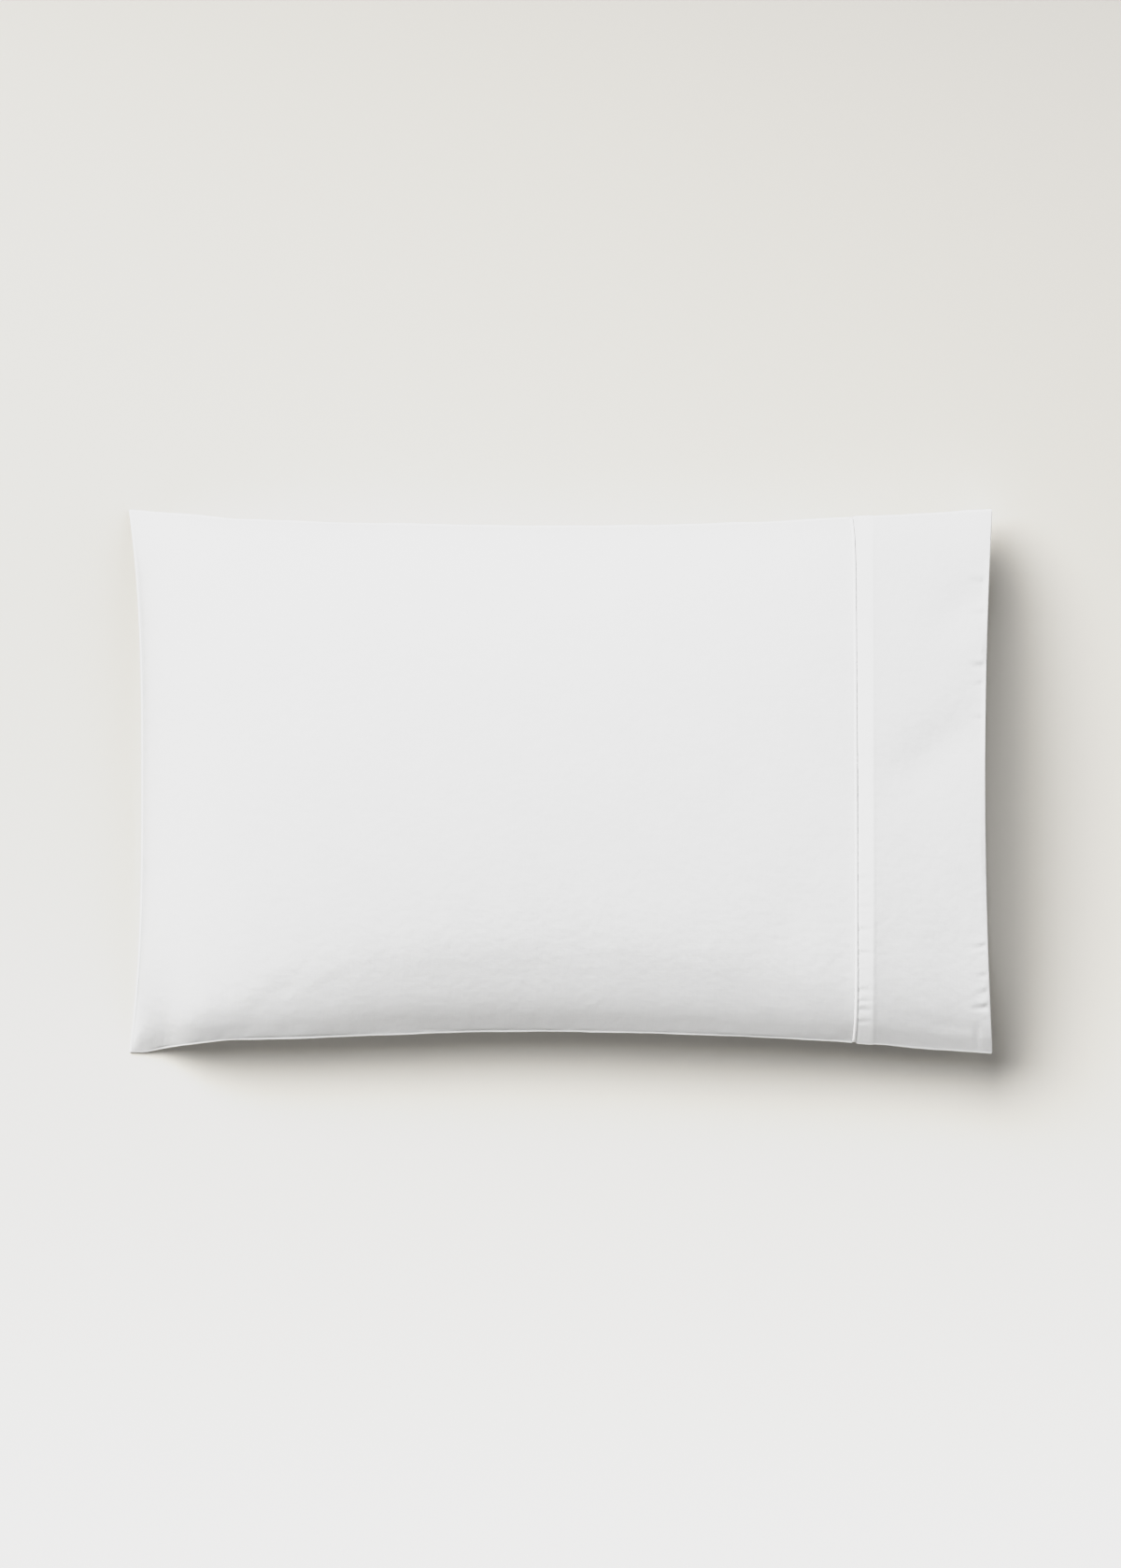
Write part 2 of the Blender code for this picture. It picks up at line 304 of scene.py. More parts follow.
    def _with_sides(self, x: float, y: np.ndarray, z: np.ndarray, share: np.ndarray, cells: int,
                    side_cells: int, lip: float) -> Ring:
        """Adds the points round both sides of a ring.

        Args:
            x: The station, in millimetres.
            y: Across places of the panels' points.
            z: Heights of the panels' points.
            share: Places of the panels' points across the half width.
            cells: Number of cells across each panel.
            side_cells: Number of cells round each side.
            lip: How far the lip stands out.

        Returns:
            The whole ring.
        """
        turn = np.pi * np.arange(1, side_cells) / side_cells
        level = np.sign(np.cos(turn)) * np.abs(np.cos(turn)) ** self.lip_boxiness
        parts = {"y": [], "z": [], "share": [], "upper": [], "from_seam": []}
        runs = (slice(0, cells + 1), slice(cells + 1, 2 * cells + 2))
        for side, (run, sign) in enumerate(zip(runs, (-1.0, 1.0))):
            out = lip * (1.0 + self._wave(x, sign)) * np.sin(turn) ** self.lip_boxiness
            step = np.hypot(np.diff(y[run]), np.diff(z[run]))
            walked = np.concatenate([[0.0], np.cumsum(step)])
            parts["y"].append(y[run])
            parts["z"].append(z[run])
            parts["share"].append(share[run])
            parts["upper"].append(np.full(cells + 1, 1.0 - side))
            parts["from_seam"].append(np.minimum(walked, walked[-1] - walked))
            first, second = (cells, cells + 1) if side == 0 else (2 * cells + 1, 0)
            middle, thick = (z[first] + z[second]) / 2.0, (z[first] - z[second]) / 2.0
            taper = 1.0 - self.lip_taper * out / max(lip, 1.0)
            parts["y"].append((y[first] + y[second]) / 2.0 + sign * out)
            parts["z"].append(middle + thick * level * taper - self.lip_droop * out)
            parts["share"].append(np.full(side_cells - 1, sign))
            parts["upper"].append(0.5 + 0.5 * (1.0 if side == 0 else -1.0) * np.cos(turn))
            parts["from_seam"].append(-out)
        joined = {name: np.concatenate(arrays) for name, arrays in parts.items()}
        return Ring(x=x + self.bow(x, joined["share"]), **joined)


# --- Cloth meshes ---------------------------------------------------------------------------------


@dataclass
class ClothTube:
    """A tube of cloth through rings that have the same number of points.

    weld is the distance over which points that meet become one, in millimetres.
    """

    name: str
    rings: list[Ring] = field(default_factory=list)
    meets_itself: bool = False
    weld: float = 0.02

    def build(self) -> bpy.types.Object:
        """Bends a grid round the rings and welds it where it meets itself.

        Returns:
            The new object, its places in its mesh, with a UV map that measures the cloth in metres.
        """
        rings = self.rings + self.rings[:1] if self.meets_itself else self.rings
        count = len(rings[0].y)
        places = np.stack([np.stack([ring.x, ring.y, ring.z], axis=1) for ring in rings]) * MM
        upper = np.stack([ring.upper for ring in rings])
        from_seam = np.stack([ring.from_seam for ring in rings]) * MM
        steps = np.linalg.norm(np.diff(places, axis=0), axis=2)
        along = np.concatenate([np.zeros((1, count)), np.cumsum(steps, axis=0)])
        if self.meets_itself:
            along[-1] = along[-2] + steps[-1]
        bm = bmesh.new()
        bmesh.ops.create_grid(bm, x_segments=len(rings) - 1, y_segments=count, size=1.0)
        cloth = bm.loops.layers.uv.new("cloth")
        layers = {name: bm.verts.layers.float.new(name) for name in ("upper", "from_seam", "along")}
        row, column = {}, {}
        for vert in bm.verts:
            row[vert] = round((vert.co.x + 1.0) / 2.0 * (len(rings) - 1))
            column[vert] = round((vert.co.y + 1.0) / 2.0 * count)
        for face in bm.faces:
            for loop in face.loops:
                i, j = row[loop.vert], column[loop.vert]
                loop[cloth].uv = (along[i, j % count], self._across(from_seam, upper, i, j % count))
        for vert in bm.verts:
            i, j = row[vert], column[vert] % count
            vert.co = places[i, j]
            vert[layers["upper"]] = upper[i, j]
            vert[layers["from_seam"]] = from_seam[i, j]
            vert[layers["along"]] = along[i, j]
        bmesh.ops.remove_doubles(bm, verts=bm.verts, dist=self.weld * MM)
        return finished(self.name, bm)

    @staticmethod
    def _across(from_seam: np.ndarray, upper: np.ndarray, i: int, j: int) -> float:
        """The cloth's measure across the case: from the side seam on the upper panel, and past 1 m below."""
        return from_seam[i, j] + (0.0 if upper[i, j] >= 0.5 else 1.0)


def finished(name: str, bm: bmesh.types.BMesh) -> bpy.types.Object:
    """Turns a bmesh into a smooth object whose faces point outwards.

    Args:
        name: The object's name.
        bm: The mesh, which is freed.

    Returns:
        The new object, linked to the scene.
    """
    bmesh.ops.recalc_face_normals(bm, faces=bm.faces)
    if bm.calc_volume(signed=True) < 0.0:
        bmesh.ops.reverse_faces(bm, faces=bm.faces)
    mesh = bpy.data.meshes.new(name)
    bm.to_mesh(mesh)
    bm.free()
    mesh.shade_smooth()
    thing = bpy.data.objects.new(name, mesh)
    bpy.context.scene.collection.objects.link(thing)
    return thing


def graded(start: float, end: float, first: float, growth: float, largest: float) -> list[float]:
    """Places from start towards end whose steps grow from a first step up to a largest one.

    Args:
        start: The first place.
        end: The last place, which is always among them.
        first: Length of the first step.
        growth: Ratio of each step to the one before.
        largest: Length that no step passes.

    Returns:
        The places, in order from start to end.
    """
    steps = [first]
    while sum(steps) < abs(end - start):
        steps.append(min(steps[-1] * growth, largest))
    scale = (end - start) / sum(steps)
    places = [start]
    for step in steps:
        places.append(places[-1] + step * scale)
    return places


def read_points(mesh: bpy.types.Mesh) -> tuple[np.ndarray, np.ndarray]:
    """Reads a mesh's points and their normals.

    Args:
        mesh: The mesh.

    Returns:
        The points and the normals, each as an array of rows.
    """
    points = np.empty(len(mesh.vertices) * 3)
    normals = np.empty(len(mesh.vertices) * 3)
    mesh.vertices.foreach_get("co", points)
    mesh.vertex_normals.foreach_get("vector", normals)
    return points.reshape(-1, 3), normals.reshape(-1, 3)


def read_values(mesh: bpy.types.Mesh, name: str) -> np.ndarray:
    """Reads one named value of each point of a mesh.

    Args:
        mesh: The mesh.
        name: The value's name.

    Returns:
        The values, in the order of the points.
    """
    values = np.empty(len(mesh.vertices))
    mesh.attributes[name].data.foreach_get("value", values)
    return values


def write_points(mesh: bpy.types.Mesh, points: np.ndarray) -> None:
    """Puts a mesh's points in new places."""
    mesh.vertices.foreach_set("co", points.astype(np.float32).ravel())
    mesh.update()


def write_painted_tone(mesh: bpy.types.Mesh, layers: np.ndarray) -> None:
    """Notes how much paleness, or below 0 how much shade, is painted into a mesh's cloth, partly for the
    layers behind it.
    """
    mesh.attributes.new("layers", "FLOAT", "POINT").data.foreach_set("value", layers.astype(np.float32))


def apply_modifiers(thing: bpy.types.Object) -> None:
    """Puts the shape that an object's modifiers give into its mesh, and removes them.

    Args:
        thing: The object.
    """
    shown = thing.evaluated_get(bpy.context.evaluated_depsgraph_get())
    mesh = bpy.data.meshes.new_from_object(shown)
    thing.modifiers.clear()
    thing.data = mesh


def subdivide(thing: bpy.types.Object) -> None:
    """Gives a cloth mesh one smooth subdivision.

    Args:
        thing: The object that holds the mesh.
    """
    modifier = thing.modifiers.new("smooth", "SUBSURF")
    modifier.levels = modifier.render_levels = 1
    apply_modifiers(thing)
    thing.data.shade_smooth()


# --- Creases --------------------------------------------------------------------------------------


def noise_at(points: np.ndarray, size: tuple[float, float, float], start: float = 0.0) -> np.ndarray:
    """Smooth noise from -1 to 1.

    Args:
        points: Where it is read, as rows of three.
        size: Size of its lumps along each axis, in the points' own unit.
        start: Offset that gives each use its own pattern.

    Returns:
        One value for each row.
    """
    scaled = points / np.array(size) + start
    return np.array([noise.noise(Vector(row)) for row in scaled])


def near(distance: np.ndarray, reach: float) -> np.ndarray:
    """A share that is 1 at a distance of 0 or less and dies away over a reach."""
    return np.exp(-np.clip(distance, 0.0, None) / reach)


@dataclass(frozen=True)
class Pucker:
    """A short soft crease that runs away from a seam, in millimetres.

    at is its place along the seam, reach its length, width half its breadth, depth how deep its trough is,
    and lean how far it drifts along the seam on its way. Beside its trough stands a ridge of a share of its
    depth, at a place and of a breadth in its own widths. It deepens over the first stretch from the seam,
    and then fades.
    """

    at: float
    reach: float
    width: float
    depth: float
    lean: float = 0.0
    ridge: float = 0.55
    ridge_at: float = 1.8
    ridge_breadth: float = 1.15
    start: float = 1.5
    fade: float = 1.5

    def lift(self, along: np.ndarray, away: np.ndarray) -> np.ndarray:
        """Height that the pucker adds at points of the cloth.

        Args:
            along: The points' places along the seam.
            away: Their distances from it.

        Returns:
            The height at each point, negative in the trough.
        """
        across = (along - self.at - self.lean * away / self.reach) / self.width
        ridge = self.ridge * np.exp(-(((across - self.ridge_at) / self.ridge_breadth) ** 2))
        fade = np.clip(1.0 - away / self.reach, 0.0, 1.0) ** self.fade * (1.0 - near(away, self.start))
        return self.depth * (ridge - np.exp(-(across**2))) * fade


@dataclass(frozen=True)
class Ruffle:
    """Fine uneven puckering beside a seam, in millimetres.

    height is how far it stands out at the seam, size the size of its lumps, reach how soon it dies away
    from the seam, and pattern the offset that gives it lumps of its own.
    """

    height: float
    size: tuple[float, float, float]
    reach: float
    pattern: float = 0.0

    def lift(self, places: np.ndarray, away: np.ndarray) -> np.ndarray:
        """Height that the ruffle adds at places whose distances from the seam are given."""
        return self.height * noise_at(places, self.size, self.pattern) * np.exp(-away / self.reach)


@dataclass(frozen=True)
class Hollow:
    """A broad soft hollow in a panel, in millimetres.

    x and y are its centre, length and breadth its half sizes, depth its depth, which is negative for a
    swell, and turn the angle from the X axis to its length, in degrees.
    """

    x: float
    y: float
    length: float
    breadth: float
    depth: float
    turn: float = 0.0

    def lift(self, x: np.ndarray, y: np.ndarray) -> np.ndarray:
        """Height that the hollow adds at points of the cloth.

        Args:
            x: The points' places along the case.
            y: Their places across it.

        Returns:
            The height at each point, negative in the hollow.
        """
        turn = math.radians(self.turn)
        along = (x - self.x) * math.cos(turn) + (y - self.y) * math.sin(turn)
        across = (y - self.y) * math.cos(turn) - (x - self.x) * math.sin(turn)
        return -self.depth * np.exp(-((along / self.length) ** 2) - (across / self.breadth) ** 2)


# --- Bag ------------------------------------------------------------------------------------------


END_PUCKERS = (
    Pucker(109.1, 16.0, 3.0, 1.04, 2.0),
    Pucker(68.3, 14.0, 2.6, 0.91, -1.0),
    Pucker(27.6, 15.0, 2.8, 0.91, 1.5),
    Pucker(-25.0, 17.0, 3.0, 1.04, -2.0),
    Pucker(-77.7, 14.0, 2.6, 0.78, 1.0),
    Pucker(-112.5, 13.0, 2.4, 0.78, 0.5),
)

BAG_HOLLOWS = (
    Hollow(150.0, -28.0, 40.0, 26.0, 0.8, 70.0),
    Hollow(215.0, -120.0, 70.0, 30.0, 1.0, 60.0),
    Hollow(-300.0, 60.0, 60.0, 30.0, 0.8, 20.0),
)

SIDE_RUFFLES = (
    Ruffle(0.7, (16.0, 30.0, 45.0), 14.0),
    Ruffle(0.35, (8.0, 30.0, 30.0), 7.0, 9.0),
)

END_RUFFLES = (
    Ruffle(0.7, (40.0, 15.0, 30.0), 12.0),
    Ruffle(0.35, (30.0, 7.0, 30.0), 7.0, 9.0),
)


@dataclass(frozen=True)
class PaintedBackingTone:
    """How much shade and paleness is painted into the bag's colour, partly for what lies behind its cloth,
    in shares and in millimetres.

    Painted shade greys the cloth beside the closed end and the side seams, where little filling backs it,
    each share with its reach, but not in the corners. Beside the -Y corner of the closed end more painted
    shade greys the cloth, and in that corner the flat ear of two layers gets a painted highlight. The lip is
    painted paler, for its doubled layers and as a painted highlight of its edge.
    """

    end: float = 0.9
    end_reach: float = 15.0
    side: float = 0.38
    side_reach: float = 14.0
    corner: float = 60.0
    corner_least: float = 0.2
    corner_shade: float = 0.55
    corner_shade_x: float = -325.0
    corner_shade_length: float = 40.0
    corner_shade_from_seam: float = 8.0
    corner_shade_breadth: float = 26.0
    ear_highlight: float = 0.45
    ear_x: float = -389.0
    ear_length: float = 22.0
    ear_breadth: float = 26.0
    lip: float = 0.45
    lip_side: float = -0.2
    lip_end: float = -1.5

    def layers(self, x: np.ndarray, y: np.ndarray, from_end: np.ndarray,
               from_seam: np.ndarray) -> np.ndarray:
        """The painted tone of the cloth at its points, partly for the layers that back it.

        Args:
            x: The points' places along the case.
            y: Their places across it.
            from_end: Their distances over the cloth from the closed end's seam.
            from_seam: Their distances over the cloth from the nearer side seam.

        Returns:
            A value for each point: above 0 where paleness is painted, and below 0 where shade is painted.
        """
        # Painted shade beside the closed end and the side seams, where little filling backs the cloth.
        by_end = self.end * near(from_end, self.end_reach)
        by_side = self.side * near(from_seam, self.side_reach)
        painted_shade = np.maximum(by_end, by_side)
        painted_shade *= np.clip(np.hypot(from_end, from_seam) / self.corner, self.corner_least, 1.0)
        # Painted shade beside the -Y corner of the closed end, and a painted highlight on the flat ear in
        # its corner.
        corner_shade = ((x - self.corner_shade_x) / self.corner_shade_length) ** 2
        corner_shade = np.exp(-corner_shade - ((from_seam - self.corner_shade_from_seam) / self.corner_shade_breadth) ** 2)
        ear_highlight = np.exp(-(((x - self.ear_x) / self.ear_length) ** 2) - (from_seam / self.ear_breadth) ** 2)
        painted_shade += (y < 0.0) * (self.corner_shade * corner_shade - self.ear_highlight * ear_highlight)
        # The lip is painted paler, for its doubled layers and as a painted highlight of its edge.
        on_lip = (from_seam < self.lip_side) | (from_end < self.lip_end)
        return np.where(on_lip, self.lip, -painted_shade)


@dataclass
class Bag:
    """The filled bag: two panels sewn together round three sides, with its filling's end inside the cuff.

    Its cells are finest beside the seams and grow to a largest step. The fill sizes are those of the
    rounded end of the filling. The swelling by pressure is held to swell, and the cloth is pinned beside
    its seams, beside the piping and where it rests. uneven is the height of its broad unevenness.
    """

    form: CaseForm
    cells: int = 92
    side_cells: int = 6
    lip_shares: tuple[float, ...] = (0.0, 0.12, 0.45, 1.0)
    first_step: float = 0.9
    closed_growth: float = 1.16
    open_growth: float = 1.3
    largest_step: float = 7.6
    cloth: float = 1.6
    gap: float = 0.4
    fill_end_x: float = 352.0
    fill_round: float = 52.0
    fill_margin: float = 5.0
    fill_half: float = 0.8
    fill_first_step: float = 0.6
    fill_growth: float = 1.35
    fill_largest_step: float = 9.0
    fill_tip: tuple[tuple[float, float], ...] = ((1.2, 1.0), (1.8, 0.625), (2.0, 0.0))
    swell: float = 0.7
    pressure: float = 4.0
    frames: int = 20
    pinned_seam: float = 2.0
    pinned_end: float = 4.5
    pinned_mouth: float = 6.0
    pinned_height: float = 0.5
    uneven: float = 0.7
    uneven_size: tuple[float, float, float] = (110.0, 90.0, 200.0)
    side_reach: float = 45.0
    end_reach: float = 40.0
    thing: bpy.types.Object | None = None

    @property
    def end_x(self) -> float:
        """Where the bag's face meets the piping."""
        return self.form.seam_x - self.form.piping_half

    def build(self) -> None:
        """Lofts the bag, lets it swell, smooths it, and lays its creases."""
        self.thing = ClothTube("bag", self._rings()).build()
        self._swell()
        subdivide(self.thing)
        self._crease()

    def _rings(self) -> list[Ring]:
        """Makes the bag's rings.

        Returns:
            The rings, from the tip of the closed end's lip to the end of the filling.
        """
        form, lip = self.form, self.form.lip_width
        root = lip - form.mouth_x
        rings = []
        for share in self.lip_shares:
            half = form.lip_half * math.sqrt(1.0 - (1.0 - share) ** 2)
            rings.append(form.ring(root, self.cells, self.side_cells, lip=lip, half=half))
            rings[-1].x -= lip * (1.0 - share)
            rings[-1].z -= form.lip_droop * lip * (1.0 - share)
        middle = 0.0
        closed = graded(root, middle, self.first_step, self.closed_growth, self.largest_step)
        open_end = graded(self.end_x, middle, self.first_step, self.open_growth, self.largest_step)[::-1]
        for x in closed + open_end[1:]:
            rings.append(form.ring(x, self.cells, self.side_cells, lip=lip))
        inside = self.cloth + self.gap
        sunk_x, inside_x = self.end_x + 0.3, self.end_x + 0.6
        rings.append(form.ring(sunk_x, self.cells, self.side_cells, inset=inside / 2.0, lip=lip / 2.0))
        filled = graded(self.fill_end_x, inside_x, self.fill_first_step, self.fill_growth,
                        self.fill_largest_step)
        for x in filled[::-1]:
            past = max(0.0, 1.0 - (self.fill_end_x - x) / self.fill_round)
            full = math.sqrt(max(0.0, 1.0 - past * past))
            rings.append(form.ring(x, self.cells, self.side_cells, inset=inside, margin=self.fill_margin,
                                   thinnest=self.fill_half, fullness=full))
        for step, share in self.fill_tip:
            rings.append(form.ring(self.fill_end_x + step, self.cells, self.side_cells, inset=inside,
                                   margin=self.fill_margin, thinnest=share * self.fill_half,
                                   fullness=0.0))
        return rings

    def _swell(self) -> None:
        """Lets pressure fill the cloth between its pinned seams, and keeps each point near its place."""
        before, _ = read_points(self.thing.data)
        pins = self.thing.vertex_groups.new(name="pins")
        pins.add([int(k) for k in np.flatnonzero(self._held(before))], 1.0, "REPLACE")
        self._add_cloth(pins.name)
        scene = bpy.context.scene
        for step in range(1, self.frames + 1):
            scene.frame_set(step)
        apply_modifiers(self.thing)
        scene.frame_set(1)
        self.thing.vertex_groups.clear()
        after, _ = read_points(self.thing.data)
        moved = after - before
        far = np.linalg.norm(moved, axis=1)
        cap = self.swell * MM
        LOG.info("bag swelled by up to %.1f mm, mean %.1f mm", far.max() / MM, far.mean() / MM)
        kept = cap * np.tanh(far / cap) / np.maximum(far, 1e-9)
        after = before + moved * kept[:, None]
        after[:, 2] = np.maximum(after[:, 2], 0.0)
        write_points(self.thing.data, after)

    def _held(self, points: np.ndarray) -> np.ndarray:
        """Finds the points that the swelling leaves in their places.

        Args:
            points: The bag's points.

        Returns:
            A mark for each point, true where it is pinned.
        """
        from_seam = read_values(self.thing.data, "from_seam")
        along = read_values(self.thing.data, "along")
        held = (from_seam < self.pinned_seam * MM) | (along < self.pinned_end * MM)
        held |= points[:, 0] > (self.end_x - self.pinned_mouth) * MM
        held |= points[:, 2] < self.pinned_height * MM
        return held

    def _add_cloth(self, pins: str) -> None:
        """Makes the bag behave as stout cotton under pressure.

        Args:
            pins: Name of the group of points that stay in their places.
        """
        cloth = self.thing.modifiers.new("cloth", "CLOTH")
        settings = cloth.settings
        settings.quality = 6
        settings.mass = 0.2
        settings.tension_stiffness = settings.compression_stiffness = 20.0
        settings.shear_stiffness = 8.0
        settings.bending_stiffness = 4.0
        settings.use_pressure = True
        settings.uniform_pressure_force = self.pressure
        settings.effector_weights.gravity = 0.0
        settings.vertex_group_mass = pins
        cloth.collision_settings.use_collision = False
        cloth.point_cache.frame_start, cloth.point_cache.frame_end = 1, self.frames

    def _crease(self) -> None:
        """Lays the puckers of the seams and the broad hollows of the panels into the bag."""
        mesh = self.thing.data
        points, normals = read_points(mesh)
        x, y, _ = (points / MM).T
        upper = read_values(mesh, "upper")
        from_seam = read_values(mesh, "from_seam") / MM
        from_end = read_values(mesh, "along") / MM - self.form.lip_width - 1.0
        shown = (x < self.end_x - 1.0) & (from_seam > 0.0) & (from_end > 0.0)
        lift = np.zeros(len(points))
        for hollow in BAG_HOLLOWS:
            lift += hollow.lift(x, y) * upper
        lift += self.uneven * noise_at(points / MM, self.uneven_size)
        for pucker in END_PUCKERS:
            lift += pucker.lift(y, from_end) * upper
        by_side = shown & (from_seam < self.side_reach)
        sides = np.stack([x, np.sign(y) * 100.0 + upper * 40.0, from_seam], axis=1)[by_side]
        for ruffle in SIDE_RUFFLES:
            lift[by_side] += ruffle.lift(sides, from_seam[by_side])
        by_end = shown & (from_end < self.end_reach)
        ends = np.stack([from_end, y, upper * 40.0], axis=1)[by_end]
        for ruffle in END_RUFFLES:
            lift[by_end] += ruffle.lift(ends, from_end[by_end])
        lift *= np.clip(from_seam / 2.0, 0.0, 1.0) * np.clip(from_end / 2.0, 0.0, 1.0)
        lift *= np.clip((self.end_x - x) / 3.0, 0.0, 1.0)
        points += normals * (lift * MM)[:, None]
        points[:, 2] = np.maximum(points[:, 2], 0.0)
        write_points(mesh, points)
        # Painted shade and paleness of the bag's cloth, kept as a value of each point.
        write_painted_tone(mesh, PaintedBackingTone().layers(x, y, from_end, from_seam))

    def dress(self, finish: bpy.types.Material) -> None:
        """Gives the bag its finish and its place in the frame.

        Args:
            finish: The material of the bag.
        """
        self.thing.data.materials.append(finish)
        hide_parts("case_body")
        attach(self.thing, BODY)


# --- Cuff -----------------------------------------------------------------------------------------


MOUTH_PUCKERS = (
    Pucker(180.4, 24.0, 3.6, 1.4, 2.0),
    Pucker(152.4, 22.0, 3.2, 1.5, -1.0),
    Pucker(104.0, 22.0, 2.8, 1.8, 1.0),
    Pucker(88.7, 18.0, 2.4, 1.4, -1.5),
    Pucker(56.5, 18.0, 2.6, 1.4, 0.5),
    Pucker(-149.5, 20.0, 2.3, 1.2, -3.0),
    Pucker(-156.5, 13.0, 1.9, 0.8, -2.0),
    Pucker(-176.3, 15.0, 2.2, 1.0, -1.0),
    Pucker(-190.5, 18.0, 2.4, 0.9, -3.5),
    Pucker(-205.0, 22.0, 2.6, 1.6, -2.0),
    Pucker(-216.5, 11.0, 2.2, 0.6, 1.0),
)

STRIP_PUCKERS = (
    Pucker(-88.0, 18.0, 2.0, 0.6, 0.0),
    Pucker(-102.0, 14.0, 1.6, 0.4, 0.5),
    Pucker(-114.2, 18.0, 1.8, 0.7, 0.5),
    Pucker(-120.5, 12.0, 1.5, 0.6, 0.0),
    Pucker(-134.6, 18.0, 2.0, 0.8, -0.4),
    Pucker(-155.8, 20.0, 2.2, 0.8, -0.5),
    Pucker(-172.0, 13.0, 1.8, 0.4, 0.3),
    Pucker(-189.7, 18.0, 2.2, 0.55, 0.0),
    Pucker(-200.0, 15.0, 1.7, 0.55, 0.5),
    Pucker(-207.5, 20.0, 2.3, 0.7, 0.5),
    Pucker(-218.6, 18.0, 2.2, 0.6, 0.0),
)

CUFF_HOLLOWS = (
    Hollow(349.0, 33.0, 60.0, 27.0, 3.6, 39.0),
    Hollow(371.0, 166.0, 34.0, 18.0, 2.4, 40.0),
    Hollow(370.0, 120.0, 26.0, 16.0, -1.2, 0.0),
    Hollow(362.0, -75.0, 40.0, 60.0, -1.0, 0.0),
    Hollow(352.0, -222.0, 34.0, 9.0, 0.6, -7.0),
    Hollow(379.0, -232.0, 3.0, 11.0, 0.8, 0.0),
)


